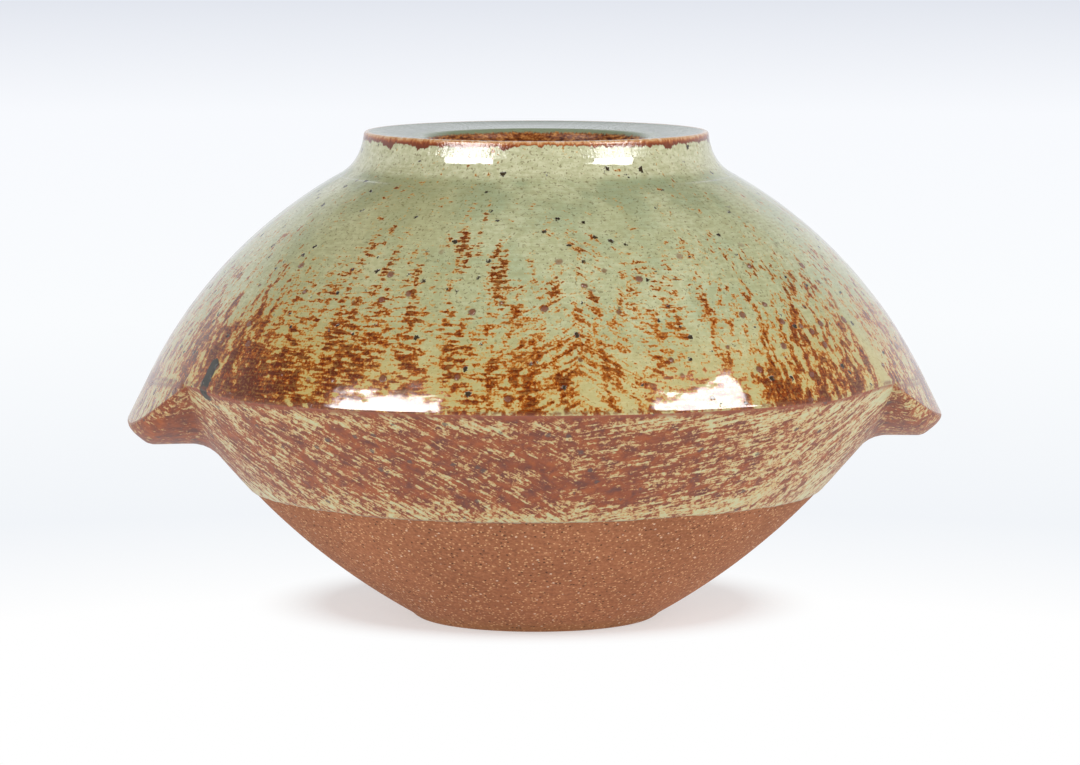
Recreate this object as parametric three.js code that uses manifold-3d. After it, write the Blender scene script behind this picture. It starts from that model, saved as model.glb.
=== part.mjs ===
// Squat stoneware jar with a sharp shoulder, a flat dished mouth and two drawn-out lugs.
// Two thrown bowls are luted rim to rim at the shoulder, a collar and a mouth ring close the top,
// and a lug is luted under the shoulder on each side. Millimetres, +Z up, origin under the foot.

import * as THREE from "three";
import { mergeVertices } from "three/addons/utils/BufferGeometryUtils.js";
import Module from "manifold-3d";

const wasm = await Module();
wasm.setup();

// Shoulder edge, where the two thrown halves meet
const SHOULDER_RADIUS = 137.5;
const SHOULDER_HEIGHT = 87;

// Lower bowl: a straight flaring wall that turns into an arc above the foot
const WALL_SLOPE_DEGREES = 49;
const STRAIGHT_WALL = 45;
const BOWL_WALL = 6.5;
const FLOOR_THICKNESS = 9;

// Turned foot: a flat standing ring round a shallow recess, with a softened edge
const FOOT_RADIUS = 41;
const FOOT_RING_WIDTH = 6.5;
const FOOT_RECESS_DEPTH = 1.5;
const FOOT_EDGE_WIDTH = 4.2;
const FOOT_EDGE_HEIGHT = 2.3;

// Shoulder dome and the concave collar on it
const DOME_ARC_RADIUS = 165.3;
const COLLAR_HEIGHT = 9.7;
const COLLAR_FLARE = 8.6;
const COLLAR_WALL = 6.5;
const COLLAR_SEAT_WIDTH = 16;

// Mouth ring: a rounded lip, a dished top and a throat that hangs into the jar
const RIM_RADIUS = 61.4;
const RIM_HEIGHT = 173;
const MOUTH_RING_HEIGHT = 5.5;
const LIP_ROUND = 1.4;
const DISH_DEPTH = 1.7;
const THROAT_RADIUS = 39;
const THROAT_ROUND = 4;
const THROAT_DEPTH = 9.5;
const THROAT_EDGE = 2;

// Glaze coat on the lower bowl, from the shoulder down to the glaze line
const GLAZE_THICKNESS = 0.6;
const GLAZE_BOND = 0.05;
const GLAZE_LINE_HEIGHT = 46.5;

// Lugs: each carries on the dome's slope past the shoulder, then turns under to the bowl
const LEFT_LUG_LENGTH = 16.7;
const LEFT_LUG_ROOT_DEGREES = 29;
const LEFT_LUG_NOSE_DEGREES = 9.5;
const RIGHT_LUG_LENGTH = 14.7;
const RIGHT_LUG_ROOT_DEGREES = 26;
const RIGHT_LUG_NOSE_DEGREES = 4.2;
const LUG_NOSE_INSET = 6.8;
const LUG_NOSE_DROP = 7.9;
const LUG_NOSE_BULGE = 2.5;
const LUG_FILLET = 6.5;
const LUG_TAPER = 1.5;
const LUG_ROOT_DEPTH = 3;
const LUTE_GAP = 0.3;

// Facets
const RING_STEPS = 72;
const ARC_STEPS = 8;
const SMALL_ARC_STEPS = 4;
const LUG_STEPS = 24;

// Profiles are drawn in the half plane of radius and height
function point(radius, height) {
  return new THREE.Vector2(radius, height);
}

// A point some way from another along a direction
function along(from, direction, distance) {
  return from.clone().addScaledVector(direction, distance);
}

// Points on an arc about a centre from one point to another, ends included
function arcPoints(centre, from, to, steps) {
  const radius = from.distanceTo(centre);
  const start = from.clone().sub(centre).angle();
  const end = to.clone().sub(centre).angle();
  const turn = THREE.MathUtils.euclideanModulo(end - start + Math.PI, 2 * Math.PI) - Math.PI;
  const points = [];
  for (let i = 0; i <= steps; i += 1) {
    const angle = start + (turn * i) / steps;
    points.push(point(centre.x + radius * Math.cos(angle), centre.y + radius * Math.sin(angle)));
  }
  return points;
}

// Points on a curve with one control point, ends included
function curvePoints(from, control, to, steps) {
  return new THREE.QuadraticBezierCurve(from, control, to).getPoints(steps);
}

// Centre of an arc of a given radius through two points, on the left of the way between them
function arcCentre(from, to, radius) {
  const chord = to.clone().sub(from);
  const left = point(-chord.y, chord.x).normalize();
  const middle = along(from, chord, 0.5);
  return along(middle, left, Math.sqrt(radius ** 2 - chord.lengthSq() / 4));
}

// Lower bowl wall: a straight run down from the shoulder and a tangent arc on to the foot's edge
const wallSlope = THREE.MathUtils.degToRad(WALL_SLOPE_DEGREES);
const wallDown = point(-Math.cos(wallSlope), -Math.sin(wallSlope));
const wallOut = point(Math.sin(wallSlope), -Math.cos(wallSlope));
const shoulder = point(SHOULDER_RADIUS, SHOULDER_HEIGHT);
const clayShoulder = point(SHOULDER_RADIUS - GLAZE_THICKNESS / Math.sin(wallSlope), SHOULDER_HEIGHT);
const footEdge = point(FOOT_RADIUS + FOOT_EDGE_WIDTH, FOOT_EDGE_HEIGHT);
const wallTurn = along(clayShoulder, wallDown, STRAIGHT_WALL);
const turnToFoot = footEdge.clone().sub(wallTurn);
const wallArcRadius = -turnToFoot.lengthSq() / (2 * turnToFoot.dot(wallOut));
const wallArcCentre = along(wallTurn, wallOut, -wallArcRadius);

// Point at a height on the wall, set out by a distance from the bare clay surface
function wallPoint(outset, height) {
  const turn = along(wallTurn, wallOut, outset);
  if (height > turn.y) {
    return point(turn.x + (height - turn.y) / Math.tan(wallSlope), height);
  }
  const radius = wallArcRadius + outset;
  const across = Math.sqrt(radius ** 2 - (height - wallArcCentre.y) ** 2);
  return point(wallArcCentre.x + Math.sign(radius) * across, height);
}

// Points up the wall from a height to the shoulder, set out from the clay, with steps in the arc only
function wallPoints(outset, height, steps) {
  const turn = along(wallTurn, wallOut, outset);
  const start = wallPoint(outset, height);
  const arc = height < turn.y ? arcPoints(wallArcCentre, start, turn, steps) : [start];
  return [...arc, wallPoint(outset, SHOULDER_HEIGHT)];
}

// Corners that the dome and the collar share with their neighbours
const innerShoulder = wallPoint(-BOWL_WALL, SHOULDER_HEIGHT);
const collarTop = RIM_HEIGHT - MOUTH_RING_HEIGHT;
const collarFoot = point(RIM_RADIUS + COLLAR_FLARE, collarTop - COLLAR_HEIGHT);
const collarSeat = point(collarFoot.x - COLLAR_SEAT_WIDTH, collarFoot.y);
const collarInside = point(RIM_RADIUS - COLLAR_WALL, collarTop);
const collarOutside = point(RIM_RADIUS, collarTop);
const domeCentre = arcCentre(shoulder, collarFoot, DOME_ARC_RADIUS);

// Direction of the dome's surface at one of its points, going down
function domeDown(at) {
  const out = at.clone().sub(domeCentre).normalize();
  return point(out.y, -out.x);
}

// Solid of revolution from a profile that closes on itself or ends on the axis
function revolve(profile) {
  const geometry = new THREE.LatheGeometry(profile, RING_STEPS);
  geometry.rotateX(Math.PI / 2);
  return geometry;
}

function lowerBowl() {
  const recessEdge = FOOT_RADIUS - FOOT_RING_WIDTH;
  const footCorner = point(footEdge.x - FOOT_EDGE_HEIGHT, 0);
  return revolve([
    point(0, FOOT_RECESS_DEPTH),
    point(recessEdge - FOOT_RECESS_DEPTH, FOOT_RECESS_DEPTH),
    point(recessEdge, 0),
    ...curvePoints(point(FOOT_RADIUS, 0), footCorner, footEdge, SMALL_ARC_STEPS),
    ...wallPoints(0, FOOT_EDGE_HEIGHT, ARC_STEPS).slice(1),
    ...wallPoints(-BOWL_WALL, FLOOR_THICKNESS, ARC_STEPS).reverse(),
    point(0, FLOOR_THICKNESS),
  ]);
}

function shoulderDome() {
  const innerCentre = arcCentre(innerShoulder, collarSeat, DOME_ARC_RADIUS);
  return revolve([
    ...arcPoints(domeCentre, shoulder, collarFoot, ARC_STEPS),
    ...arcPoints(innerCentre, collarSeat, innerShoulder, ARC_STEPS),
    shoulder,
  ]);
}

function neckCollar() {
  const down = domeDown(collarFoot);
  const hollow = along(collarFoot, down, -COLLAR_FLARE / down.x);
  return revolve([
    ...curvePoints(collarFoot, hollow, collarOutside, SMALL_ARC_STEPS + 2),
    collarInside,
    collarSeat,
    collarFoot,
  ]);
}

function mouthRing() {
  const dish = RIM_HEIGHT - DISH_DEPTH;
  const throatFoot = RIM_HEIGHT - THROAT_DEPTH;
  const lipBelow = point(RIM_RADIUS, RIM_HEIGHT - LIP_ROUND);
  const lipInside = point(RIM_RADIUS - LIP_ROUND, RIM_HEIGHT);
  const dishEdge = point(THROAT_RADIUS + THROAT_ROUND, dish);
  const throatTop = point(THROAT_RADIUS, dish - THROAT_ROUND);
  const throatEnd = point(THROAT_RADIUS, throatFoot + THROAT_EDGE);
  const throatBelow = point(THROAT_RADIUS + THROAT_EDGE, throatFoot);
  return revolve([
    collarOutside,
    ...curvePoints(lipBelow, point(RIM_RADIUS, RIM_HEIGHT), lipInside, SMALL_ARC_STEPS),
    ...curvePoints(dishEdge, point(THROAT_RADIUS, dish), throatTop, SMALL_ARC_STEPS),
    ...curvePoints(throatEnd, point(THROAT_RADIUS, throatFoot), throatBelow, SMALL_ARC_STEPS / 2),
    collarInside,
    collarOutside,
  ]);
}

// Solid for cutting, from a closed geometry
function toSolid(geometry) {
  const bare = geometry.clone();
  bare.deleteAttribute("normal");
  bare.deleteAttribute("uv");
  const merged = mergeVertices(bare);
  const vertProperties = new Float32Array(merged.attributes.position.array);
  const triVerts = new Uint32Array(merged.index.array);
  return new wasm.Manifold(new wasm.Mesh({ numProp: 3, vertProperties, triVerts }));
}

function toGeometry(solid) {
  const mesh = solid.getMesh();
  const geometry = new THREE.BufferGeometry();
  geometry.setAttribute("position", new THREE.BufferAttribute(mesh.vertProperties, 3));
  geometry.setIndex(new THREE.BufferAttribute(mesh.triVerts, 1));
  return geometry;
}

// Everything within the bowl's outer surface, set out by a distance and carried up past the shoulder
function bowlEnvelope(outset) {
  const wall = wallPoints(outset, FOOT_EDGE_HEIGHT, ARC_STEPS);
  const top = along(wall.at(-1), wallDown, -LUG_ROOT_DEPTH);
  return toSolid(revolve([point(0, FOOT_EDGE_HEIGHT), ...wall, top, point(0, top.y)]));
}

const LUGS = [
  {
    name: "lug_left",
    facing: 180,
    length: LEFT_LUG_LENGTH,
    rootDegrees: LEFT_LUG_ROOT_DEGREES,
    noseDegrees: LEFT_LUG_NOSE_DEGREES,
  },
  {
    name: "lug_right",
    facing: 0,
    length: RIGHT_LUG_LENGTH,
    rootDegrees: RIGHT_LUG_ROOT_DEGREES,
    noseDegrees: RIGHT_LUG_NOSE_DEGREES,
  },
];

// How far a lug is drawn out at an angle from its middle: 1 along its nose, 0 at its roots
function lugFullness(lug, degrees) {
  const reach = (Math.abs(degrees) - lug.noseDegrees) / (lug.rootDegrees - lug.noseDegrees);
  return 1 - THREE.MathUtils.clamp(reach, 0, 1) ** LUG_TAPER;
}

// Cross-section of a lug: from the shoulder down its top, round the nose, back under to the bowl
// and closed inside the bowl's wall. Growth sets it out where it cuts room for itself.
function lugSection(lug, fullness, growth) {
  const down = domeDown(shoulder);
  const top = along(shoulder, down, LUTE_GAP - 2 * growth);
  const edge = along(shoulder, down, LUTE_GAP + lug.length * fullness);
  const bulge = along(edge, down, LUG_NOSE_BULGE * fullness);
  const nose = point(edge.x - LUG_NOSE_INSET * fullness, edge.y - LUG_NOSE_DROP * fullness);
  const corner = wallPoint(0, nose.y);
  const fillet = LUG_FILLET * fullness;
  const underside = point(corner.x + fillet, corner.y);
  const filletEnd = along(corner, wallDown, fillet);
  const outline = [
    top,
    ...curvePoints(edge, bulge, nose, SMALL_ARC_STEPS),
    ...curvePoints(underside, corner, filletEnd, SMALL_ARC_STEPS),
  ];
  const grown = outline.map((at) => along(at, wallOut, growth));
  const root = [filletEnd, top].map((at) => point(at.x - LUG_ROOT_DEPTH, at.y));
  return [...grown, ...root];
}

// Skin over a row of closed sections, capped at both ends
function loft(sections) {
  const count = sections[0].length;
  const last = (sections.length - 1) * count;
  const index = [];
  for (let start = 0; start < last; start += count) {
    for (let i = 0; i < count; i += 1) {
      const a = start + i;
      const b = start + ((i + 1) % count);
      index.push(a, b, a + count, b, b + count, a + count);
    }
  }
  for (let i = 1; i + 1 < count; i += 1) {
    index.push(0, i + 1, i, last, last + i, last + i + 1);
  }
  const geometry = new THREE.BufferGeometry();
  geometry.setFromPoints(sections.flat());
  geometry.setIndex(index);
  return geometry;
}

// A lug before it is cut to the bowl
function lugBlank(lug, growth) {
  const reach = lug.rootDegrees + THREE.MathUtils.radToDeg(growth / SHOULDER_RADIUS);
  const sections = [];
  for (let i = 0; i <= LUG_STEPS; i += 1) {
    const degrees = reach * ((2 * i) / LUG_STEPS - 1);
    const turn = THREE.MathUtils.degToRad(lug.facing + degrees);
    const outline = lugSection(lug, lugFullness(lug, degrees), growth);
    const place = (at) => new THREE.Vector3(at.x * Math.cos(turn), at.x * Math.sin(turn), at.y);
    sections.push(outline.map(place));
  }
  return toSolid(loft(sections));
}

function lugGeometry(lug) {
  return toGeometry(lugBlank(lug, 0).subtract(bowlEnvelope(LUTE_GAP)));
}

// Glaze coat with a rounded lower edge, open where the lugs are luted to the clay
function glazeBand() {
  const edgeHeight = GLAZE_LINE_HEIGHT + GLAZE_THICKNESS;
  const face = wallPoints(GLAZE_THICKNESS, edgeHeight, SMALL_ARC_STEPS);
  const bond = wallPoints(GLAZE_BOND, GLAZE_LINE_HEIGHT, SMALL_ARC_STEPS).reverse();
  let coat = toSolid(revolve([...face, ...bond, face[0]]));
  for (const lug of LUGS) {
    coat = coat.subtract(lugBlank(lug, LUTE_GAP));
  }
  return toGeometry(coat);
}

// Fired colours
function fired(color, roughness) {
  return new THREE.MeshStandardMaterial({ color, roughness, metalness: 0 });
}

const jar = new THREE.Group();

function addPiece(name, geometry, material) {
  const mesh = new THREE.Mesh(geometry, material);
  mesh.name = name;
  jar.add(mesh);
}

addPiece("lower_bowl", lowerBowl(), fired(0x9c6547, 0.85));
addPiece("shoulder_dome", shoulderDome(), fired(0xa9a67c, 0.15));
addPiece("neck_collar", neckCollar(), fired(0xa9a67c, 0.15));
addPiece("mouth_ring", mouthRing(), fired(0xbfc2ae, 0.15));
addPiece("glaze_band", glazeBand(), fired(0x85603f, 0.35));
for (const lug of LUGS) {
  addPiece(lug.name, lugGeometry(lug), fired(0x7d4f2a, 0.3));
}

export default jar;
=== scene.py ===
"""Stoneware jar: two thrown halves, a collar, a mouth ring, a glaze band and two lugs."""

import math

import bpy
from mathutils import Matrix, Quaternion, Vector, noise


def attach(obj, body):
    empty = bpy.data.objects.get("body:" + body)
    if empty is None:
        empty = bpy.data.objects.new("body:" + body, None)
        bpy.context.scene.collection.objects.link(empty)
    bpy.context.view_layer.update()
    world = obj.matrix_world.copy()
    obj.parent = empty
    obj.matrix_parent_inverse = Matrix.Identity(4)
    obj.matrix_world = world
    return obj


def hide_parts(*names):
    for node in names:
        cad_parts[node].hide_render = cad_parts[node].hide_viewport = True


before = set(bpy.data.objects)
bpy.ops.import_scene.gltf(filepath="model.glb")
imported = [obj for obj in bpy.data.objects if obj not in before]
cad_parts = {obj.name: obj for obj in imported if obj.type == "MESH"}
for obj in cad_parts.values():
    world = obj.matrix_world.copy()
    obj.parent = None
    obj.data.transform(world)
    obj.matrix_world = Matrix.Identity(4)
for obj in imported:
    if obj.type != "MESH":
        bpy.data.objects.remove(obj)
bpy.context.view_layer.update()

# Sizes shared with the solids, in metres; most pairs are a radius and a height
SHOULDER = Vector((0.1375, 0.087))
WALL_SLOPE = math.radians(49)
STRAIGHT_WALL = 0.045
BOWL_WALL = 0.0065
FLOOR_THICKNESS = 0.009
FOOT_RADIUS = 0.041
FOOT_RING_WIDTH = 0.0065
FOOT_RECESS = 0.0015
FOOT_EDGE = Vector((0.0452, 0.0023))
DOME_RADIUS = 0.1653
COLLAR_FOOT = Vector((0.070, 0.1578))
COLLAR_SEAT = Vector((0.054, 0.1578))
COLLAR_WALL = 0.0065
RIM_RADIUS = 0.0614
RIM_HEIGHT = 0.173
LIP_ROUND = 0.0014
DISH_DEPTH = 0.0017
THROAT_RADIUS = 0.039
THROAT_ROUND = 0.004
THROAT_DEPTH = 0.0095
THROAT_EDGE = 0.002
GLAZE_THICKNESS = 0.0006
GLAZE_LINE = 0.0465
LUG_NOSE = Vector((-0.0068, -0.0079))
LUG_BULGE = 0.0025
LUG_FILLET = 0.0065
LUG_TAPER = 1.5

# Finer shapes of the thrown pieces
SOFT_EDGE = 0.0018
SOFT_STEPS = 12
SOFT_MIDDLE = 6
NECK_HOLLOW = Vector((0.0627, 0.1619))
NECK_STEPS = 40
NECK_JOINT = 30
DISH_BEND = Vector((RIM_RADIUS - 0.007, RIM_HEIGHT - 0.0012))
FIRST_RING = 0.01
FLOOR_RING = 0.04
GLAZE_BEAD = 0.0012
GLAZE_BOND = 0.0003
BOND_INSET = 0.001
DRAG_TOP = 0.062
DRAG_RUN = 0.0145
RING_STEPS = 300
MERGE_DISTANCE = 0.000002
SMOOTH_ANGLE = math.radians(40)

# Unevenness of hand throwing, none near the axis
WOBBLE = 0.00022
RIPPLE = 0.0001
STILL_RADIUS = 0.005

# Shoulder drawn up beside the roots of the lugs
LUG_LIFT = 0.0023
LIFT_DEGREES = 28
LIFT_SPREAD = 17
LIFT_FOOT = 0.062
LIFT_HEAD = 0.125

# Finer shapes of the lugs
LUG_ROOT = 0.007
LUG_ROOT_SINK = 0.0007
LUG_OVERLAP = 0.003
LUG_START = 0.0003
LUG_SINK = 0.0008
LUG_SINK_SHARE = 0.12
LUG_DEPTH = 0.003
LUG_TAIL = 0.002
LUG_TAIL_SINK = 0.0008
NOSE_ROUND = 0.16
LUG_CUTS = 119


# Points on an arc about a centre, both ends included
def arc_points(centre, start, end, count):
    first = math.atan2(start.y - centre.y, start.x - centre.x)
    last = math.atan2(end.y - centre.y, end.x - centre.x)
    radius = (start - centre).length
    points = []
    for step in range(count + 1):
        angle = first + (last - first) * step / count
        points.append(centre + radius * Vector((math.cos(angle), math.sin(angle))))
    return points


# Points on a curve with one control point, both ends included
def curve_points(start, control, end, count):
    points = []
    for step in range(count + 1):
        t = step / count
        points.append((1 - t) ** 2 * start + 2 * t * (1 - t) * control + t * t * end)
    return points


def line_points(start, end, count):
    return [start.lerp(end, step / count) for step in range(count + 1)]


# Centre of an arc through two points, on the left of the way between them
def arc_centre(start, end, radius):
    chord = end - start
    left = Vector((-chord.y, chord.x)).normalized()
    return start + chord / 2 + left * math.sqrt(radius ** 2 - chord.length_squared / 4)


# Wall of the lower bowl: straight below the shoulder, then an arc to the foot
wall_down = Vector((-math.cos(WALL_SLOPE), -math.sin(WALL_SLOPE)))
wall_out = Vector((math.sin(WALL_SLOPE), -math.cos(WALL_SLOPE)))
clay_shoulder = SHOULDER - Vector((GLAZE_THICKNESS / math.sin(WALL_SLOPE), 0))
wall_turn = clay_shoulder + wall_down * STRAIGHT_WALL
turn_to_foot = FOOT_EDGE - wall_turn
wall_arc_radius = -turn_to_foot.length_squared / (2 * turn_to_foot.dot(wall_out))
wall_arc_centre = wall_turn - wall_out * wall_arc_radius


# Point of the wall at a height, set out from the bare clay
def wall_point(outset, height):
    turn = wall_turn + wall_out * outset
    if height > turn.y:
        return Vector((turn.x + (height - turn.y) / math.tan(WALL_SLOPE), height))
    radius = wall_arc_radius + outset
    across = math.sqrt(radius ** 2 - (height - wall_arc_centre.y) ** 2)
    return Vector((wall_arc_centre.x + across, height))


def wall_points(outset, low, high, count):
    heights = [low + (high - low) * step / count for step in range(count + 1)]
    return [wall_point(outset, height) for height in heights]


inner_shoulder = wall_point(-BOWL_WALL, SHOULDER.y)
dome_centre = arc_centre(SHOULDER, COLLAR_FOOT, DOME_RADIUS)
dome_out = (SHOULDER - dome_centre).normalized()
dome_down = Vector((dome_out.y, -dome_out.x))

# Softened shoulder edge, shared half and half by the dome and the glaze band
soft_start = SHOULDER - dome_down * SOFT_EDGE
soft_end = SHOULDER + wall_down * SOFT_EDGE
soft_edge = curve_points(soft_start, SHOULDER, soft_end, SOFT_STEPS)


# Smooth step from 0 at low to 1 at high, either way round
def smooth(value, low, high):
    share = min(1.0, max(0.0, (value - low) / (high - low)))
    return share * share * (3 - 2 * share)


# How far the shoulder is drawn up beside the roots of the lugs
def shoulder_lift(place):
    from_lug = math.degrees(math.atan2(abs(place.y), abs(place.x)))
    beside = smooth(abs(from_lug - LIFT_DEGREES), LIFT_SPREAD, 0)
    below = smooth(place.z, LIFT_FOOT, SHOULDER.y)
    above = smooth(place.z, LIFT_HEAD, SHOULDER.y)
    return LUG_LIFT * beside * below * above


# Slight unevenness of hand throwing, the same for every piece at one place
def thrown_wobble(place):
    turn = Vector((place.x, place.y, 0))
    if turn.length < STILL_RADIUS:
        return place.copy()
    around = turn.normalized()
    slow = noise.noise(around * 1.3 + Vector((0, 0, place.z * 9)))
    ripple = noise.noise(around * 2.2 + Vector((5, 3, place.z * 90)))
    inward = WOBBLE * (slow - 1) + RIPPLE * (ripple - 1)
    return place + around * inward + Vector((0, 0, shoulder_lift(place)))


# Turn a profile of radius and height into a closed ring or dish
def turned_piece(name, profile):
    bpy.ops.object.select_all(action="DESELECT")
    bpy.ops.mesh.primitive_plane_add(size=0.001)
    piece = bpy.context.object
    piece.name = name
    bpy.ops.object.mode_set(mode="EDIT")
    bpy.ops.mesh.select_all(action="SELECT")
    bpy.ops.mesh.merge(type="CENTER")
    bpy.ops.transform.translate(value=(profile[0].x, 0, profile[0].y))
    for before, after in zip(profile, profile[1:]):
        step = (after.x - before.x, 0, after.y - before.y)
        bpy.ops.mesh.extrude_region_move(TRANSFORM_OT_translate={"value": step})
    bpy.ops.mesh.select_all(action="SELECT")
    bpy.ops.mesh.spin(steps=RING_STEPS, angle=2 * math.pi, center=(0, 0, 0), axis=(0, 0, 1))
    bpy.ops.mesh.select_all(action="SELECT")
    bpy.ops.mesh.remove_doubles(threshold=MERGE_DISTANCE)
    bpy.ops.mesh.normals_make_consistent(inside=False)
    bpy.ops.object.mode_set(mode="OBJECT")
    return piece


# Add the unevenness, soften the shading, set the finish and tie the piece to its solid
def finish_piece(piece, material):
    for vertex in piece.data.vertices:
        vertex.co = thrown_wobble(vertex.co)
    bpy.ops.object.select_all(action="DESELECT")
    piece.select_set(True)
    bpy.context.view_layer.objects.active = piece
    bpy.ops.object.shade_smooth_by_angle(angle=SMOOTH_ANGLE)
    piece.data.materials.clear()
    piece.data.materials.append(material)
    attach(piece, "root")
    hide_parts(piece.name.removesuffix("_looks"))


# Lower bowl of bare clay with its turned foot
def lower_bowl():
    recess_edge = FOOT_RADIUS - FOOT_RING_WIDTH
    recess_start = Vector((FIRST_RING, FOOT_RECESS))
    recess_end = Vector((recess_edge - FOOT_RECESS, FOOT_RECESS))
    foot_corner = Vector((FOOT_EDGE.x - FOOT_EDGE.y, 0))
    floor_start = Vector((FLOOR_RING, FLOOR_THICKNESS))
    floor_end = Vector((FIRST_RING, FLOOR_THICKNESS))
    profile = [
        Vector((0, FOOT_RECESS)),
        *line_points(recess_start, recess_end, 4),
        Vector((recess_edge, 0)),
        *curve_points(Vector((FOOT_RADIUS, 0)), foot_corner, FOOT_EDGE, 8),
        *wall_points(0, FOOT_EDGE.y, SHOULDER.y, 60)[1:],
        *reversed(wall_points(-BOWL_WALL, FLOOR_THICKNESS, SHOULDER.y, 40)),
        *line_points(floor_start, floor_end, 3),
        Vector((0, FLOOR_THICKNESS)),
    ]
    return turned_piece("lower_bowl_looks", profile)


# Upper half, from the middle of the soft edge up to the collar
def shoulder_dome():
    inner_centre = arc_centre(inner_shoulder, COLLAR_SEAT, DOME_RADIUS)
    outside = arc_points(dome_centre, soft_edge[0], COLLAR_FOOT, 90)
    inside = arc_points(inner_centre, COLLAR_SEAT, inner_shoulder, 30)
    edge = soft_edge[:SOFT_MIDDLE + 1]
    profile = [*reversed(edge), *outside[1:], *inside, soft_edge[SOFT_MIDDLE]]
    return turned_piece("shoulder_dome_looks", profile)


# Hollow of the neck from the dome to just under the lip, shared by the collar and the mouth ring
lip_below = Vector((RIM_RADIUS, RIM_HEIGHT - LIP_ROUND))
neck = curve_points(COLLAR_FOOT, NECK_HOLLOW, lip_below, NECK_STEPS)
neck_joint = neck[NECK_JOINT]
joint_inside = Vector((RIM_RADIUS - COLLAR_WALL, neck_joint.y))


# Concave collar on top of the dome
def neck_collar():
    outside = neck[:NECK_JOINT + 1]
    profile = [*outside, *line_points(joint_inside, COLLAR_SEAT, 4), COLLAR_FOOT]
    return turned_piece("neck_collar_looks", profile)


# Flat dished mouth with a rounded lip and throat
def mouth_ring():
    dish = RIM_HEIGHT - DISH_DEPTH
    throat_foot = RIM_HEIGHT - THROAT_DEPTH
    lip_top = Vector((RIM_RADIUS - LIP_ROUND, RIM_HEIGHT))
    dish_edge = Vector((THROAT_RADIUS + THROAT_ROUND, dish))
    throat_top = Vector((THROAT_RADIUS, dish - THROAT_ROUND))
    throat_end = Vector((THROAT_RADIUS, throat_foot + THROAT_EDGE))
    throat_under = Vector((THROAT_RADIUS + THROAT_EDGE, throat_foot))
    profile = [
        *neck[NECK_JOINT:],
        *curve_points(lip_below, Vector((RIM_RADIUS, RIM_HEIGHT)), lip_top, 8)[1:],
        *curve_points(lip_top, DISH_BEND, dish_edge, 14)[1:],
        *curve_points(dish_edge, Vector((THROAT_RADIUS, dish)), throat_top, 10)[1:],
        *curve_points(throat_end, Vector((THROAT_RADIUS, throat_foot)), throat_under, 5),
        joint_inside,
        neck_joint,
    ]
    return turned_piece("mouth_ring_looks", profile)


# How far the hand-dipped glaze line shifts at a direction round the bowl
def glaze_line_shift(around):
    slow = noise.noise(around * 1.6 + Vector((2, 7, 1)))
    quick = noise.noise(around * 7 + Vector((9, 1, 4)))
    scallop = noise.noise(around * 26 + Vector((3, 3, 8)))
    return 0.0009 * slow + 0.0006 * quick + 0.00045 * scallop


# Coat of glaze that stops part-way down the bowl in a rolled, uneven edge
def glaze_band():
    coat = wall_points(GLAZE_THICKNESS, GLAZE_LINE + GLAZE_BEAD, SHOULDER.y - GLAZE_BEAD, 60)
    bead_corner = wall_point(GLAZE_THICKNESS, GLAZE_LINE)
    bead = curve_points(coat[0], bead_corner, wall_point(-GLAZE_BOND, GLAZE_LINE), 6)
    bond = wall_points(-GLAZE_BOND, GLAZE_LINE + BOND_INSET, SHOULDER.y - BOND_INSET, 20)
    edge = soft_edge[SOFT_MIDDLE:]
    profile = [*edge, *reversed(coat[:-1]), *bead[1:], *bond, soft_edge[SOFT_MIDDLE]]
    band = turned_piece("glaze_band_looks", profile)
    for vertex in band.data.vertices:
        around = Vector((vertex.co.x, vertex.co.y, 0)).normalized()
        share = min(1.0, max(0.0, (DRAG_TOP - vertex.co.z) / DRAG_RUN))
        shift = share * glaze_line_shift(around)
        vertex.co += Vector((around.x * wall_down.x, around.y * wall_down.x, wall_down.y)) * shift
    return band


# Cross-section of a lug: over the shoulder, down its top, round the nose and back under to the bowl
def lug_section(length, fullness):
    sunk = LUG_SINK * (1 - min(1.0, fullness / LUG_SINK_SHARE))
    root = SHOULDER - dome_down * LUG_ROOT - dome_out * LUG_ROOT_SINK
    over = SHOULDER - dome_down * LUG_OVERLAP
    edge = SHOULDER + dome_down * (LUG_START + length * fullness)
    bulge = edge + dome_down * (LUG_BULGE * fullness)
    nose = edge + LUG_NOSE * fullness
    corner = wall_point(GLAZE_THICKNESS, nose.y)
    fillet = LUG_FILLET * fullness
    under = corner + Vector((fillet, 0))
    foot = corner + wall_down * fillet
    lip = nose.lerp(bulge, NOSE_ROUND)
    heel = nose.lerp(under, NOSE_ROUND)
    outside = [
        *line_points(root, over, 3),
        *line_points(over, edge, 12)[1:],
        *curve_points(edge, bulge, lip, 12)[1:],
        *curve_points(lip, nose, heel, 4)[1:],
        *line_points(heel, under, 5)[1:],
        *curve_points(under, corner, foot, 10)[1:],
        foot + wall_down * LUG_TAIL - wall_out * LUG_TAIL_SINK,
    ]
    outside = [at - (dome_out + wall_out) * sunk for at in outside]
    inside = [outside[-1] - wall_out * LUG_DEPTH, outside[0] - dome_out * LUG_DEPTH]
    return [*outside, *inside]


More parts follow.
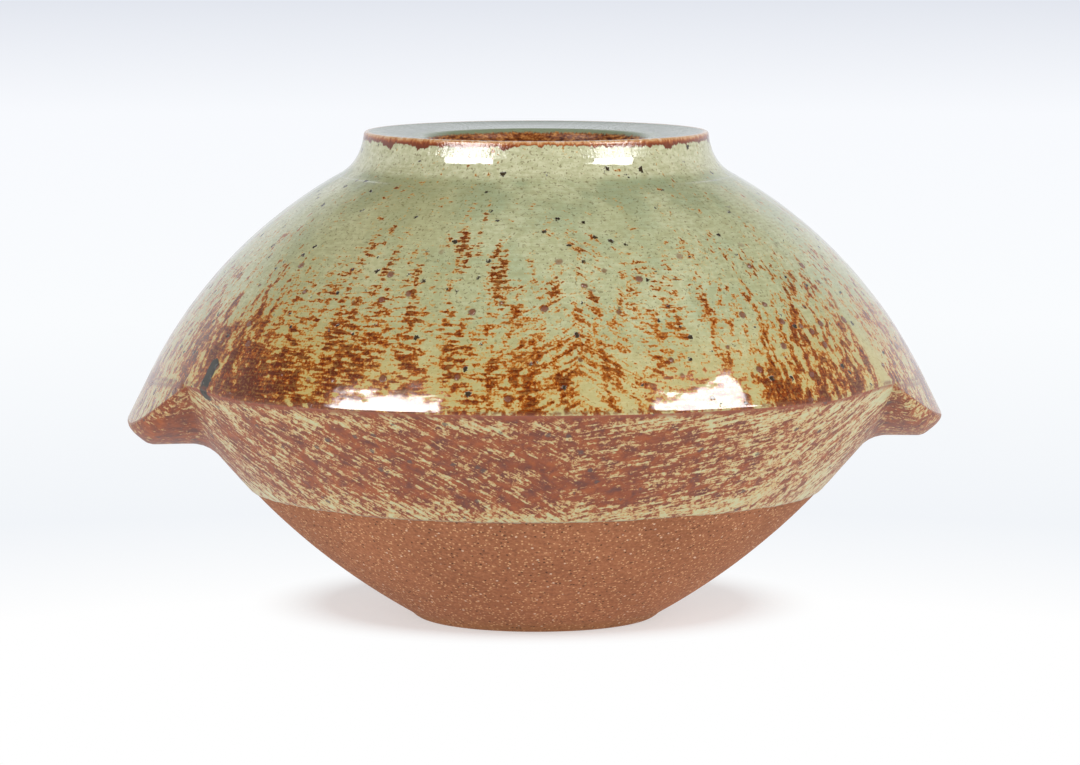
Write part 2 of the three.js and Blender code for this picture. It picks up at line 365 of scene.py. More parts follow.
# Lug drawn out from the shoulder, wrapped from a cylinder laid along it
def lug(name, facing, length, root_degrees, nose_degrees):
    section_count = len(lug_section(length, 1))
    bpy.ops.object.select_all(action="DESELECT")
    bpy.ops.mesh.primitive_cylinder_add(vertices=section_count, radius=1, depth=2)
    piece = bpy.context.object
    piece.name = name
    bpy.ops.object.mode_set(mode="EDIT")
    bpy.ops.mesh.select_mode(type="EDGE")
    bpy.ops.mesh.select_all(action="DESELECT")
    bpy.ops.object.mode_set(mode="OBJECT")
    for edge in piece.data.edges:
        ends = [piece.data.vertices[index].co.z for index in edge.vertices]
        edge.select = abs(ends[0] - ends[1]) > 1
    bpy.ops.object.mode_set(mode="EDIT")
    bpy.ops.mesh.subdivide(number_cuts=LUG_CUTS)
    bpy.ops.object.mode_set(mode="OBJECT")
    for vertex in piece.data.vertices:
        share = math.atan2(vertex.co.y, vertex.co.x) / (2 * math.pi)
        degrees = root_degrees * vertex.co.z
        reach = (abs(degrees) - nose_degrees) / (root_degrees - nose_degrees)
        fullness = 1 - min(1.0, max(0.0, reach)) ** LUG_TAPER
        at = lug_section(length, fullness)[round(share * section_count) % section_count]
        turn = math.radians(facing + degrees)
        vertex.co = Vector((at.x * math.cos(turn), at.x * math.sin(turn), at.y))
    bpy.ops.object.mode_set(mode="EDIT")
    bpy.ops.mesh.select_mode(type="VERT")
    bpy.ops.mesh.select_all(action="SELECT")
    bpy.ops.mesh.normals_make_consistent(inside=False)
    bpy.ops.object.mode_set(mode="OBJECT")
    return piece


# How much the glaze breaks to rust low on the dome, by degrees from the front
RUST_ROUND_THE_DOME = [
    (-180, 0.3), (-105, 0.3), (-72, 0.0), (-50, 0.74), (-26, 0.24), (-8, 0.09),
    (10, 0.02), (32, 0.0), (47, 0.36), (68, 0.12), (105, 0.3), (180, 0.3),
]

# How pale the brushed band is round the bowl, by degrees from the front
PALE_ROUND_THE_BAND = [
    (-180, 0.3), (-95, 0.32), (-60, 0.40), (-25, 0.3), (8, 0.24), (22, 0.42),
    (30, 0.52), (48, 0.7), (65, 0.66), (110, 0.35), (180, 0.3),
]

# Ways along the dome and along the band, from height and radius; each start is at the shoulder
DOME_RUN_SCALE = 1.37
DOME_RUN_START = 0.0369
BAND_RUN_SCALE = 1.41
BAND_RUN_START = 0.1592

# Radius at which patterns wrapped round the jar have their true size
GIRTH = 0.12

# Middle of the chevrons and place of the dark daub, in radians to the right of the front
CHEVRON_MIDDLE = 0.11
DAUB_TURN = -0.979
DAUB_WIDTH = 0.034


# Colour from the levels of a screen, 0 to 255
def tint(red, green, blue):
    levels = []
    for level in (red, green, blue):
        share = level / 255
        levels.append(share / 12.92 if share <= 0.04045 else ((share + 0.055) / 1.055) ** 2.4)
    return (*levels, 1)


# Node tree of one finish, with short ways to add to it
class Finish:
    def __init__(self, name):
        self.material = bpy.data.materials.new(name)
        self.material.use_nodes = True
        self.tree = self.material.node_tree
        self.shader = self.tree.nodes["Principled BSDF"]
        self.place = self.tree.nodes.new("ShaderNodeTexCoord").outputs["Object"]
        self.x, self.y, self.height = self.split(self.place)
        self.radius = self.math("SQRT", self.plus(self.square(self.x), self.square(self.y)))
        self.angle = self.math("ARCTAN2", self.x, self.times(self.y, -1))

    def feed(self, socket, value):
        if isinstance(value, bpy.types.NodeSocket):
            self.tree.links.new(value, socket)
        else:
            socket.default_value = value

    def set_input(self, name, value):
        self.feed(self.shader.inputs[name], value)

    def split(self, vector):
        node = self.tree.nodes.new("ShaderNodeSeparateXYZ")
        self.feed(node.inputs[0], vector)
        return node.outputs

    def math(self, operation, first, second=0.0):
        node = self.tree.nodes.new("ShaderNodeMath")
        node.operation = operation
        self.feed(node.inputs[0], first)
        self.feed(node.inputs[1], second)
        return node.outputs[0]

    def plus(self, first, second):
        return self.math("ADD", first, second)

    def minus(self, first, second):
        return self.math("SUBTRACT", first, second)

    def times(self, first, second):
        return self.math("MULTIPLY", first, second)

    def square(self, value):
        return self.times(value, value)

    # Weighted sum of several patterns
    def sum(self, *terms):
        parts = [self.times(value, weight) for weight, value in terms]
        total = parts[0]
        for part in parts[1:]:
            total = self.plus(total, part)
        return total

    # Distance in plan from a point before or behind the middle
    def away_from(self, y):
        return self.math("SQRT", self.plus(self.square(self.x), self.square(self.minus(self.y, y))))

    # Rise from 0 at low to 1 at high, smooth at both ends
    def rise(self, value, low, high, kind="SMOOTHSTEP"):
        node = self.tree.nodes.new("ShaderNodeMapRange")
        node.interpolation_type = kind
        self.feed(node.inputs["Value"], value)
        node.inputs["From Min"].default_value = low
        node.inputs["From Max"].default_value = high
        return node.outputs["Result"]

    # Straight rise from 0 at low to 1 at high
    def slope(self, value, low, high):
        return self.rise(value, low, high, "LINEAR")

    # Smooth hump that is 1 at a middle and 0 a width away on both sides
    def hump(self, value, middle, width):
        away = self.math("ABSOLUTE", self.minus(value, middle))
        return self.rise(away, width, 0.0)

    # Height as if the shoulder were level all round
    def level(self):
        from_lug = self.minus(math.pi / 2, self.math("ABSOLUTE", self.angle))
        from_lug = self.math("ABSOLUTE", from_lug)
        lift = self.hump(from_lug, math.radians(LIFT_DEGREES), math.radians(LIFT_SPREAD))
        lift = self.times(lift, self.rise(self.height, LIFT_FOOT, SHOULDER.y))
        lift = self.times(lift, self.rise(self.height, LIFT_HEAD, SHOULDER.y))
        return self.minus(self.height, self.times(lift, LUG_LIFT))

    # Level that changes round the jar, from pairs of degrees from the front and a level
    def round_jar(self, levels):
        stops = [((degrees + 180) / 360, (level, level, level, 1)) for degrees, level in levels]
        return self.ramp(self.slope(self.angle, -math.pi, math.pi), stops)

    def noise(self, vector, scale, detail=2.0, rough=0.5, warp=0.0):
        node = self.tree.nodes.new("ShaderNodeTexNoise")
        self.feed(node.inputs["Vector"], vector)
        node.inputs["Scale"].default_value = scale
        node.inputs["Detail"].default_value = detail
        node.inputs["Roughness"].default_value = rough
        node.inputs["Distortion"].default_value = warp
        return node.outputs["Fac"]

    # Scattered cells: the distance from each one's middle and a colour to pick some of them by
    def spots(self, scale):
        node = self.tree.nodes.new("ShaderNodeTexVoronoi")
        self.feed(node.inputs["Vector"], self.place)
        node.inputs["Scale"].default_value = scale
        return node.outputs["Distance"], node.outputs["Color"]

    # Specks with a soft edge, in the cells whose pick is high
    def specks(self, scale, edge, chosen):
        distance, pick = self.spots(scale)
        return self.times(self.rise(distance, *edge), self.rise(pick, *chosen))

    # Place wrapped round the jar: turn is an angle, run a way along the surface.
    # Patterns on it stretch to their size around and their size along.
    def wrap(self, turn, run, around, along):
        node = self.tree.nodes.new("ShaderNodeCombineXYZ")
        self.feed(node.inputs[0], self.times(self.math("SINE", turn), GIRTH / around))
        self.feed(node.inputs[1], self.times(self.math("COSINE", turn), GIRTH / around))
        self.feed(node.inputs[2], self.times(run, 1 / along))
        return node.outputs[0]

    def ramp(self, value, stops):
        node = self.tree.nodes.new("ShaderNodeValToRGB")
        self.feed(node.inputs[0], value)
        ends = node.color_ramp.elements
        while len(ends) < len(stops):
            ends.new(0.5)
        for end, (position, colour) in zip(ends, stops):
            end.position = position
            end.color = colour
        return node.outputs["Color"]

    def blend(self, factor, first, second):
        node = self.tree.nodes.new("ShaderNodeMix")
        node.data_type = "RGBA"
        self.feed(node.inputs[0], factor)
        self.feed(node.inputs[6], first)
        self.feed(node.inputs[7], second)
        return node.outputs[2]

    # Colour with a second one laid over it where a pattern is high, at a strength
    def stain(self, colour, pattern, strength, second):
        return self.blend(self.times(pattern, strength), colour, second)

    # Relief from a height pattern, laid over an earlier relief
    def relief(self, height, depth, earlier=None):
        node = self.tree.nodes.new("ShaderNodeBump")
        node.inputs["Strength"].default_value = 1.0
        node.inputs["Distance"].default_value = depth
        self.feed(node.inputs["Height"], height)
        if earlier is not None:
            self.feed(node.inputs["Normal"], earlier)
        return node.outputs["Normal"]


# Celadon that breaks to rust where it is thin, on the dome and the tops of the lugs
def celadon_and_rust(finish):
    turn = finish.angle
    run = finish.math("DIVIDE", finish.minus(finish.level(), finish.radius), DOME_RUN_SCALE)
    up = finish.plus(run, DOME_RUN_START)
    from_chevrons = finish.math("ABSOLUTE", finish.minus(turn, CHEVRON_MIDDLE))
    chevron_turn = finish.plus(from_chevrons, finish.times(run, 12.0))
    chevron_side = finish.times(finish.math("GREATER_THAN", turn, CHEVRON_MIDDLE), 0.4)
    chevron_run = finish.plus(run, chevron_side)

    # Brush marks, level at the front left, in chevrons at the front and upright at the sides
    dashes = finish.noise(finish.wrap(turn, run, 0.0048, 0.0012), 1, 1.0, 0.5, 0.3)
    chevrons = finish.noise(finish.wrap(chevron_turn, chevron_run, 0.0030, 0.0068), 1, 1.0, 0.5, 0.5)
    streaks = finish.noise(finish.wrap(turn, run, 0.0020, 0.0050), 1, 1.0, 0.5, 0.2)
    to_chevrons = finish.hump(turn, 0.13, 0.34)
    to_streaks = finish.rise(finish.math("ABSOLUTE", finish.minus(turn, -0.15)), 0.5, 0.9)
    brush = finish.blend(to_streaks, dashes, streaks)
    brush = finish.blend(finish.times(to_chevrons, 0.85), brush, chevrons)

    blobs = finish.noise(finish.place, 500, 2, 0.6, 0.2)
    grit = finish.noise(finish.place, 1200, 1, 0.5)
    columns = finish.noise(finish.wrap(turn, run, 0.0065, 0.024), 1, 1.5, 0.5, 0.1)
    clouds = finish.noise(finish.place, 60, 2, 0.5, 0.2)
    mist = finish.noise(finish.place, 22, 3, 0.55)
    fine = finish.noise(finish.wrap(turn, run, 0.009, 0.0009), 1, 2, 0.6)
    stipple = finish.noise(finish.place, 1000, 1, 0.5)

    # Rust where the sum of brush, noise and thinness is high, with an amber and a pale fringe
    thin = finish.slope(up, 0.080, 0.0)
    sides = finish.times(finish.round_jar(RUST_ROUND_THE_DOME), finish.rise(up, 0.050, 0.015))
    bloom = finish.times(finish.hump(turn, 0.34, 0.15), finish.hump(up, 0.036, 0.018))
    high = finish.rise(up, 0.030, 0.060)
    reach = finish.times(finish.rise(columns, 0.50, 0.66), finish.hump(turn, -0.32, 0.50))
    reach = finish.times(reach, high)
    low = finish.rise(up, 0.045, 0.015)
    upper = finish.rise(up, 0.045, 0.085)
    top = finish.rise(up, 0.092, 0.106)
    mark = finish.sum((0.52, brush), (0.38, blobs), (0.25, grit), (0.38, columns), (0.12, clouds),
                      (0.125, thin), (0.17, sides), (0.05, bloom), (0.10, reach),
                      (0.003, low), (-0.03, upper), (-0.04, top))
    mark = finish.minus(mark, 0.963)
    pale_run = finish.times(finish.hump(turn, 1.078, 0.050), finish.rise(up, 0.044, 0.028))
    unwiped = finish.minus(1.0, finish.rise(pale_run, 0.15, 0.6))
    cover = finish.times(finish.rise(mark, -0.020, 0.024), unwiped)
    amber = finish.times(finish.rise(mark, -0.045, 0.0), unwiped)
    wash = finish.times(finish.rise(mark, -0.085, 0.0), unwiped)

    # Green ground: cool patches, darker patches under the collar, a warm left, a pale collar, mottle,
    # fine lines and dots. The darker patches under the collar are partly pooled glaze and partly painted
    # shade
    green = finish.ramp(mist, [
        (0.3, tint(176, 177, 134)),
        (0.5, tint(191, 192, 152)),
        (0.7, tint(202, 201, 162)),
    ])
    green = finish.stain(green, finish.rise(clouds, 0.46, 0.64), 0.45, tint(160, 173, 139))
    # Darker green just below the collar: partly pooled glaze, partly painted shade
    pooled_and_shaded = finish.times(finish.rise(up, 0.074, 0.100), finish.rise(clouds, 0.32, 0.58))
    green = finish.stain(green, pooled_and_shaded, 0.8, tint(148, 159, 122))
    green = finish.stain(green, finish.hump(turn, -0.65, 0.55), 0.28, tint(172, 152, 92))
    collar = finish.rise(finish.height, 0.1588, 0.1618)
    green = finish.blend(collar, green, tint(204, 202, 165))
    green = finish.stain(green, finish.rise(blobs, 0.60, 0.36), 0.38, tint(150, 148, 100))
    green = finish.stain(green, finish.rise(fine, 0.4, 0.7), 0.3, tint(146, 140, 96))
    green = finish.stain(green, finish.rise(stipple, 0.58, 0.70), 0.62, tint(108, 96, 54))
    gold = finish.sum((0.36, finish.rise(up, 0.040, 0.004)), (0.42, sides))
    green = finish.blend(gold, green, tint(206, 174, 92))

    # Rust over the ground, darker where it is thick, with small gaps
    colour = finish.stain(green, wash, 0.65, tint(200, 160, 84))
    colour = finish.stain(colour, amber, 0.6, tint(186, 124, 48))
    deep = finish.sum((1.0, mark), (0.045, high))
    rusty = finish.ramp(finish.slope(deep, 0.0, 0.12), [
        (0.0, tint(184, 112, 36)),
        (0.25, tint(158, 77, 15)),
        (0.55, tint(130, 56, 9)),
        (1.0, tint(96, 38, 8)),
    ])
    gaps = finish.sum((0.22, finish.rise(fine, 0.50, 0.68)), (0.24, finish.rise(stipple, 0.52, 0.64)))
    colour = finish.blend(finish.times(cover, finish.minus(1.0, gaps)), colour, rusty)

    # Burst blisters low on the dome and dark iron specks all over
    blister_distance, blister_pick = finish.spots(150)
    blister = finish.plus(blister_distance, finish.times(blobs, 0.2))
    blister_chosen = finish.times(finish.rise(blister_pick, 0.60, 0.62), finish.rise(up, 0.075, 0.050))
    ring = finish.times(finish.rise(blister, 0.35, 0.28), blister_chosen)
    skin = finish.times(finish.rise(blister, 0.27, 0.23), blister_chosen)
    colour = finish.stain(colour, ring, 0.85, tint(112, 52, 20))
    colour = finish.stain(colour, skin, 0.65, tint(130, 84, 66))
    distance, pick = finish.spots(190)
    wobbly = finish.sum((0.10, blobs), (0.40, grit))
    ragged = finish.sum((1.0, distance), (1.0, wobbly), (-0.32, pick))
    core = finish.times(finish.rise(ragged, 0.19, 0.13), finish.rise(pick, 0.64, 0.66))
    colour = finish.blend(core, colour, tint(60, 48, 32))

    # Dark daub beside the left lug and the dark edge of the shoulder
    daub = finish.times(finish.hump(turn, DAUB_TURN, DAUB_WIDTH), finish.rise(up, 0.0150, 0.0105))
    daub = finish.rise(finish.sum((1.0, daub), (0.5, blobs)), 0.65, 0.8)
    colour = finish.blend(daub, colour, tint(46, 42, 30))
    dark_line = finish.times(finish.hump(up, 0.0014, 0.0013), finish.rise(blobs, 0.35, 0.55))
    colour = finish.stain(colour, dark_line, 0.7, tint(112, 50, 16))
    colour = finish.stain(colour, finish.hump(up, -0.0004, 0.0014), 0.7, tint(126, 66, 42))
    relief = finish.sum((0.2, brush), (0.2, blobs), (0.1, fine), (-3.0, core), (6.0, skin))
    return colour, cover, relief


# Satin brown with pale brushed strokes, on the band and, less streaky, on the undersides of the lugs
def brushed_brown(finish, streaky):
    turn = finish.angle
    run = finish.math("DIVIDE", finish.plus(finish.level(), finish.radius), BAND_RUN_SCALE)
    down = finish.minus(BAND_RUN_START, run)

    # Strokes that lean one way at the left, the other at the front right and less at the far right
    left_turn = finish.plus(turn, finish.times(run, 10.0))
    right_turn = finish.minus(turn, finish.times(run, 28.0))
    far_turn = finish.minus(turn, finish.times(run, 7.0))
    left = finish.noise(finish.wrap(left_turn, run, 0.0022, 0.0056), 1, 1.5, 0.6, 0.8)
    right = finish.noise(finish.wrap(right_turn, run, 0.0052, 0.0021), 1, 1.5, 0.6, 0.8)
    far = finish.noise(finish.wrap(far_turn, run, 0.0022, 0.0056), 1, 1.5, 0.6, 0.8)
    brush = finish.blend(finish.rise(turn, 0.04, 0.16), left, right)
    brush = finish.blend(finish.rise(turn, 0.65, 0.90), brush, far)
    crackle = finish.noise(finish.place, 600, 2, 0.6, 0.4)
    grit = finish.noise(finish.place, 1500, 1, 0.5)
    patches = finish.noise(finish.place, 110, 2, 0.5, 0.3)
    mottle = finish.noise(finish.place, 240, 3, 0.6, 0.3)

    # Pale where the strokes are thick, in a row under the shoulder, at the glaze line and by the lugs
    row = finish.hump(down, 0.0058, 0.0056)
    sides = finish.round_jar(PALE_ROUND_THE_BAND)
    pool = finish.times(finish.rise(down, 0.0400, 0.0520), finish.minus(1.25, sides))
    roots = finish.hump(finish.math("ABSOLUTE", turn), 1.10, 0.09)
    stroke = finish.sum((0.46 * streaky, brush), (0.54 - 0.11 * streaky, crackle), (0.16, grit),
                        (0.22, patches), (0.065 * streaky, row), (0.095 * streaky, pool),
                        (0.14, sides), (0.05, roots))
    stroke = finish.minus(stroke, 0.610 + 0.12 * streaky)
    pale = finish.rise(stroke, -0.016, 0.018)
    fringe = finish.rise(stroke, -0.05, 0.0)
    brown = finish.ramp(mottle, [
        (0.32, tint(110, 62, 50)),
        (0.5, tint(140, 73, 45)),
        (0.68, tint(166, 89, 48)),
    ])
    cream = finish.ramp(finish.slope(stroke, 0.0, 0.10), [
        (0.0, tint(196, 148, 96)),
        (0.45, tint(204, 176, 122)),
        (1.0, tint(200, 196, 150)),
    ])
    colour = finish.stain(brown, fringe, 0.55, tint(190, 132, 88))
    colour = finish.blend(pale, colour, cream)

    # Shoulder edge, iron specks, the foot of the dark daub and the line where the glaze ends
    colour = finish.stain(colour, finish.hump(down, 0.0007, 0.0019), 0.8, tint(146, 82, 60))
    distance, pick = finish.spots(170)
    ragged = finish.sum((1.0, distance), (0.14, crackle), (0.3, grit))
    iron = finish.times(finish.rise(ragged, 0.42, 0.36), finish.rise(pick, 0.62, 0.64))
    colour = finish.stain(colour, iron, 0.75, tint(92, 78, 74))
    daub = finish.times(finish.hump(turn, DAUB_TURN, DAUB_WIDTH), finish.rise(down, 0.0055, 0.0035))
    daub = finish.rise(finish.sum((1.0, daub), (0.5, crackle)), 0.65, 0.8)
    colour = finish.blend(daub, colour, tint(58, 54, 48))
    colour = finish.stain(colour, finish.rise(down, 0.0530, 0.0545), 0.6, tint(128, 104, 92))
    return colour, pale, finish.sum((0.5, brush), (0.3, crackle), (0.1, pale))


def shoulder_glaze():
    finish = Finish("celadon_breaking_to_rust")
    colour, rust, brush = celadon_and_rust(finish)
    finish.set_input("Base Color", colour)
    finish.set_input("Roughness", finish.plus(finish.times(rust, 0.05), 0.06))
    finish.set_input("IOR", 1.68)
    uneven = finish.relief(finish.noise(finish.place, 90, 2, 0.5), 0.0003)
    finish.set_input("Normal", finish.relief(brush, 0.00004, uneven))
    return finish.material


def band_glaze():
    finish = Finish("brown_satin_brushed_glaze")
    colour, pale, brush = brushed_brown(finish, 1.0)
    finish.set_input("Base Color", colour)
    finish.set_input("Roughness", finish.minus(0.48, finish.times(pale, 0.12)))
    finish.set_input("IOR", 1.5)
    finish.set_input("Specular IOR Level", 0.35)
    uneven = finish.relief(finish.noise(finish.place, 160, 2, 0.5), 0.0008)
    finish.set_input("Normal", finish.relief(brush, 0.0003, uneven))
    return finish.material


# Lug: the dome's glaze on top, the band's on its front and underside, a rusty ridge between them
def lug_glaze():
    finish = Finish("lug_rust_over_brown_glaze")
    top_colour, _, top_brush = celadon_and_rust(finish)
    under_colour, _, under_brush = brushed_brown(finish, 0.35)
    facing = finish.tree.nodes.new("ShaderNodeNewGeometry").outputs["Normal"]
    upward = finish.split(facing)[2]
    on_top = finish.rise(upward, 0.10, 0.32)
    colour = finish.blend(on_top, under_colour, top_colour)
    colour = finish.stain(colour, finish.hump(upward, 0.24, 0.16), 0.9, tint(140, 68, 28))
    finish.set_input("Base Color", colour)
    finish.set_input("Roughness", finish.minus(0.42, finish.times(on_top, 0.25)))
    finish.set_input("IOR", 1.55)
    # The plain level stays in the socket for where the changing one is lost
    finish.set_input("Specular IOR Level", 0.35)
    finish.set_input("Specular IOR Level", finish.plus(finish.times(on_top, 0.6), 0.2))
    brush = finish.blend(on_top, under_brush, top_brush)
    finish.set_input("Normal", finish.relief(brush, 0.0002))
    return finish.material


# Pale dished mouth with a rust lip that carries a painted glint on its crest, an olive edge and a rust
# throat
def mouth_glaze():
    finish = Finish("pale_mouth_with_rust_lip")
    neck_colour, _, _ = celadon_and_rust(finish)
    turn = finish.angle
    height = finish.height
    radius = finish.radius
    mist = finish.noise(finish.place, 45, 3, 0.55)
    fine = finish.noise(finish.wrap(turn, radius, 0.010, 0.0007), 1, 2, 0.6)
    ragged = finish.noise(finish.wrap(turn, height, 0.0022, 0.0022), 1, 3, 0.65)
    runs = finish.noise(finish.wrap(turn, 0.0, 0.012, 1), 1, 2, 0.5)
    rings = finish.noise(finish.wrap(turn, height, 0.006, 0.0008), 1, 2, 0.6)

    dish = finish.ramp(mist, [(0.25, tint(112, 122, 106)), (0.75, tint(132, 140, 123))])
    dish = finish.stain(dish, finish.rise(fine, 0.45, 0.75), 0.15, tint(134, 136, 108))
    dish = finish.blend(finish.rise(radius, 0.0460, 0.0425), dish, tint(128, 138, 108))
    throat_height = finish.sum((1.0, height), (0.0024, ragged))
    throat = finish.times(finish.rise(throat_height, 0.1716, 0.1706), finish.rise(radius, 0.0440, 0.0425))
    throat_colour = finish.ramp(rings, [
        (0.32, tint(76, 30, 10)),
        (0.5, tint(138, 72, 28)),
        (0.68, tint(204, 138, 72)),
    ])
    colour = finish.blend(throat, dish, throat_colour)
    colour = finish.blend(finish.rise(radius, 0.0590, 0.0600), colour, neck_colour)

    # Ragged rust lip, thinner at the front; its paler crest is partly the glaze and partly a painted
    # glint
    drip = finish.sum((1.0, height), (0.0026, ragged), (0.0024, finish.rise(runs, 0.48, 0.78)),
                      (-0.0009, finish.hump(turn, 0.05, 0.60)))
    lip = finish.times(finish.rise(drip, 0.1717, 0.1721), finish.rise(radius, 0.0588, 0.0597))
    lip_level = finish.sum((1.0, height), (0.0034, ragged))
    # The pale top of this ramp is partly a painted glint along the lip
    lip_rust_and_painted_glint = finish.ramp(finish.slope(lip_level, 0.1718, 0.1750), [
        (0.0, tint(106, 46, 18)),
        (0.38, tint(128, 58, 22)),
        (0.58, tint(170, 98, 48)),
        (0.8, tint(206, 158, 108)),
        (1.0, tint(216, 192, 168)),
    ])
    colour = finish.blend(lip, colour, lip_rust_and_painted_glint)
    finish.set_input("Base Color", colour)
    finish.set_input("Roughness", finish.plus(finish.times(throat, 0.2), 0.08))
    finish.set_input("Specular IOR Level", finish.minus(0.5, finish.times(throat, 0.42)))
    finish.set_input("IOR", 1.54)
    uneven = finish.relief(finish.noise(finish.place, 110, 2, 0.5), 0.0002)
    finish.set_input("Normal", finish.relief(ragged, 0.00015, uneven))
    return finish.material


# Bare fired clay with turning lines, sand, grog and pits
def bare_clay():
    finish = Finish("bare_grogged_clay")
    mist = finish.noise(finish.place, 26, 3, 0.55)
    grain = finish.noise(finish.place, 800, 2, 0.6)
    lines = finish.noise(finish.wrap(finish.angle, finish.height, 0.030, 0.0011), 1, 2, 0.6)
    sand = finish.specks(900, (0.42, 0.30), (0.60, 0.63))
    grog = finish.specks(420, (0.22, 0.14), (0.66, 0.69))
    pits = finish.specks(640, (0.30, 0.18), (0.66, 0.70))
    colour = finish.ramp(mist, [(0.25, tint(150, 93, 60)), (0.75, tint(172, 110, 74))])
    colour = finish.stain(colour, finish.rise(grain, 0.5, 0.7), 0.4, tint(200, 140, 102))
    colour = finish.stain(colour, finish.rise(grain, 0.5, 0.3), 0.5, tint(112, 68, 48))
    colour = finish.stain(colour, finish.rise(lines, 0.52, 0.75), 0.25, tint(122, 74, 52))
    colour = finish.stain(colour, sand, 0.8, tint(222, 172, 124))
    colour = finish.stain(colour, grog, 0.8, tint(232, 206, 178))
    colour = finish.stain(colour, pits, 0.8, tint(74, 44, 32))
    foot = finish.rise(finish.height, 0.006, 0.001)
    colour = finish.stain(colour, foot, 0.3, tint(150, 110, 66))
    finish.set_input("Base Color", colour)
    finish.set_input("Roughness", finish.plus(finish.times(grain, 0.15), 0.75))
    finish.set_input("Specular IOR Level", 0.25)
    turned = finish.relief(lines, 0.0003)
    rough = finish.relief(grain, 0.0002, turned)
    finish.set_input("Normal", finish.relief(pits, -0.0003, rough))
    return finish.material


clay = bare_clay()
celadon = shoulder_glaze()
satin_brown = band_glaze()
lug_finish = lug_glaze()
mouth_finish = mouth_glaze()

finish_piece(lower_bowl(), clay)
finish_piece(shoulder_dome(), celadon)
finish_piece(neck_collar(), celadon)
finish_piece(mouth_ring(), mouth_finish)
finish_piece(glaze_band(), satin_brown)
left_lug = lug("lug_left_looks", facing=180, length=0.0167, root_degrees=29, nose_degrees=9.5)
finish_piece(left_lug, lug_finish)
right_lug = lug("lug_right_looks", facing=0, length=0.0147, root_degrees=26, nose_degrees=4.2)
finish_piece(right_lug, lug_finish)

# Table, lamps and camera, in metres, with the lens and the sensor in millimetres
TABLE_RADIUS = 14
SHADE_MIDDLE = -0.25
SHADOW_MIDDLE = 0.03
LAMP_AIM = Vector((0, 0, 0.09))
LIGHT_DISTANCE = 1.6
SHINE_DISTANCE = 1.57
CAMERA_PLACE = (0.0014, -1.8747, 0.28825)
CAMERA_TILT = math.radians(83.76)
CAMERA_LENS = 176.7
CAMERA_SENSOR = 36


# White table that stays white far off and keeps the jar's shadow near by. Near the jar it half glows for
# every ray: painted light that lifts the shadow and lights the jar from below
def white_table():
    bpy.ops.object.select_all(action="DESELECT")
    bpy.ops.mesh.primitive_circle_add(vertices=96, radius=TABLE_RADIUS, fill_type="NGON")
    table = bpy.context.object
    table.name = "white_table"
    finish = Finish("glowing_white_table")
    stretch = finish.math("LOGARITHM", finish.plus(finish.away_from(SHADE_MIDDLE), 0.1), 10)
    colour = finish.ramp(finish.slope(stretch, -0.4, 0.85), [
        (0.0, tint(255, 255, 255)),
        (0.16, tint(242, 245, 249)),
        (0.45, tint(250, 252, 254)),
        (0.75, tint(248, 250, 254)),
        (1.0, tint(223, 227, 236)),
    ])
    finish.set_input("Base Color", colour)
    finish.set_input("Roughness", 0.9)
    finish.set_input("Specular IOR Level", 0.0)
    glow = finish.tree.nodes.new("ShaderNodeEmission")
    finish.feed(glow.inputs["Color"], colour)
    path = finish.tree.nodes.new("ShaderNodeLightPath")
    seen = finish.math("MAXIMUM", path.outputs["Is Camera Ray"], path.outputs["Is Glossy Ray"])
    seen = finish.math("MAXIMUM", seen, path.outputs["Is Transmission Ray"])
    far = finish.times(finish.rise(finish.away_from(SHADOW_MIDDLE), 0.045, 0.105), seen)
    # At least half glow everywhere, also for light that reaches the jar: painted light from the table
    painted_glow_share = finish.math("MAXIMUM", far, 0.5)
    mixed = finish.tree.nodes.new("ShaderNodeMixShader")
    finish.feed(mixed.inputs[0], painted_glow_share)
    finish.feed(mixed.inputs[1], finish.shader.outputs[0])
    finish.feed(mixed.inputs[2], glow.outputs[0])
    finish.feed(finish.tree.nodes["Material Output"].inputs["Surface"], mixed.outputs[0])
    table.data.materials.append(finish.material)


# Softbox that faces the jar from a side and a height, rolled about its own axis, in degrees.
# One lamp lights the clay and a second one just before it is what the gloss mirrors.
def softbox(name, side, rise, roll, size, power, shine):
    turn = math.radians(side)
    lift = math.radians(rise)
    away = Vector((math.sin(turn) * math.cos(lift), -math.cos(turn) * math.cos(lift), math.sin(lift)))
    facing = away.to_track_quat("Z", "Y") @ Quaternion((0, 0, 1), math.radians(roll))
    for part, energy, distance in (("light", power, LIGHT_DISTANCE), ("shine", shine, SHINE_DISTANCE)):
        light = bpy.data.lights.new(name + "_" + part, "AREA")
        light.shape = "RECTANGLE"
        light.size, light.size_y = size
        light.energy = energy
        lamp = bpy.data.objects.new(light.name, light)
        bpy.context.scene.collection.objects.link(lamp)
        lamp.location = LAMP_AIM + away * distance
        lamp.rotation_euler = facing.to_euler()
        lamp.visible_camera = False
        lamp.visible_diffuse = part == "light"
        lamp.visible_glossy = part == "shine"


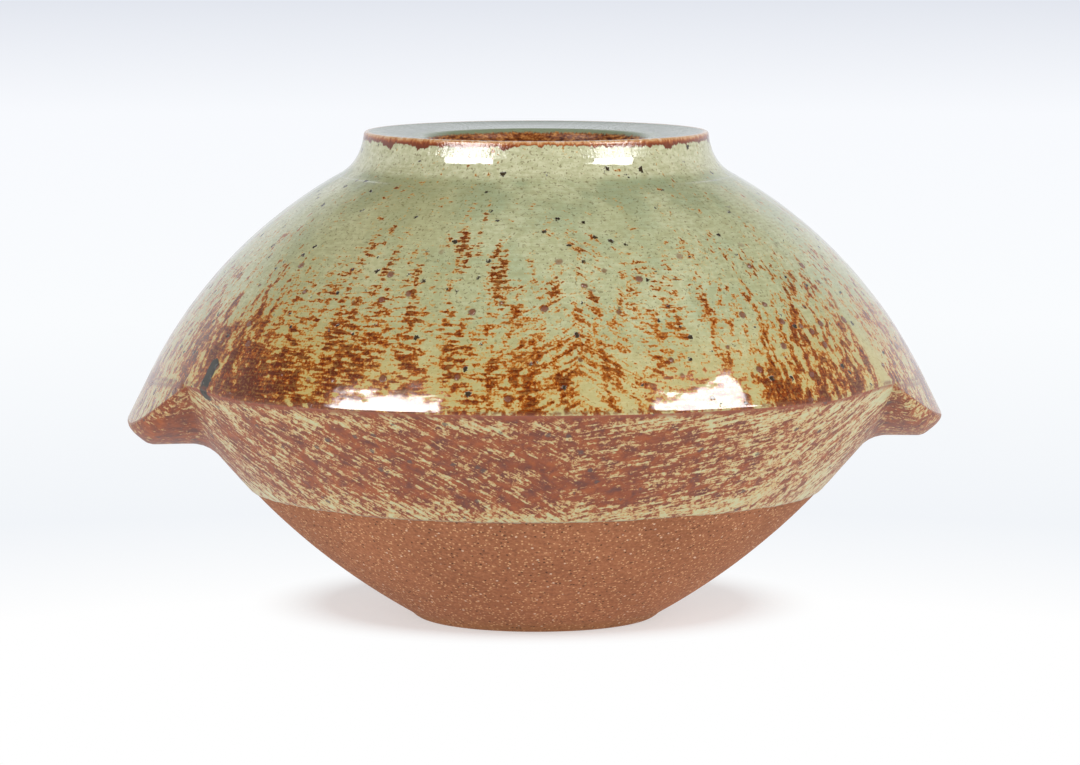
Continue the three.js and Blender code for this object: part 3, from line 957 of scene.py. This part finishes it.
# Even fill for the clay; in the gloss, white low down behind the jar, dim in front and a dark ceiling
def white_surroundings():
    world = bpy.data.worlds.new("white_surroundings")
    bpy.context.scene.world = world
    world.use_nodes = True
    nodes = world.node_tree.nodes
    links = world.node_tree.links
    sky = nodes["Background"]
    sky.inputs["Color"].default_value = tint(246, 249, 254)
    path = nodes.new("ShaderNodeLightPath")
    split = nodes.new("ShaderNodeSeparateXYZ")
    links.new(nodes.new("ShaderNodeTexCoord").outputs["Generated"], split.inputs[0])

    # Share of white along one axis of the direction, smooth between two levels
    def white_along(axis, low, high, first, last):
        share = nodes.new("ShaderNodeMapRange")
        share.interpolation_type = "SMOOTHSTEP"
        links.new(split.outputs[axis], share.inputs["Value"])
        share.inputs["From Min"].default_value = low
        share.inputs["From Max"].default_value = high
        share.inputs["To Min"].default_value = first
        share.inputs["To Max"].default_value = last
        return share.outputs["Result"]

    # One number or the other, by the kind of ray
    def by_ray(kind, otherwise, then):
        pick = nodes.new("ShaderNodeMix")
        links.new(path.outputs[kind], pick.inputs[0])
        for socket, value in ((pick.inputs[2], otherwise), (pick.inputs[3], then)):
            if isinstance(value, float):
                socket.default_value = value
            else:
                links.new(value, socket)
        return pick.outputs[0]

    mirrored = nodes.new("ShaderNodeMath")
    mirrored.operation = "MULTIPLY"
    links.new(white_along("Z", 0.33, 0.64, 1.0, 0.15), mirrored.inputs[0])
    links.new(white_along("Y", -0.45, 0.75, 0.33, 1.0), mirrored.inputs[1])
    plain = by_ray("Is Camera Ray", 0.55, 0.95)
    clear = by_ray("Is Transmission Ray", plain, 0.95)
    links.new(by_ray("Is Glossy Ray", clear, mirrored.outputs[0]), sky.inputs["Strength"])


white_table()
softbox("left_softbox", side=-46, rise=24.6, roll=12, size=(0.80, 1.06), power=9, shine=44)
softbox("right_softbox", side=54.5, rise=28, roll=-4, size=(0.72, 0.82), power=12, shine=25)
white_surroundings()

# Camera as far off and as high as the ellipses of rim, shoulder and foot say
view = bpy.data.cameras.new("photo_camera")
view.lens = CAMERA_LENS
view.sensor_width = CAMERA_SENSOR
camera = bpy.data.objects.new("photo_camera", view)
bpy.context.scene.collection.objects.link(camera)
camera.location = CAMERA_PLACE
camera.rotation_euler = (CAMERA_TILT, 0, 0)
bpy.context.scene.camera = camera
bpy.context.scene.view_settings.view_transform = "Standard"
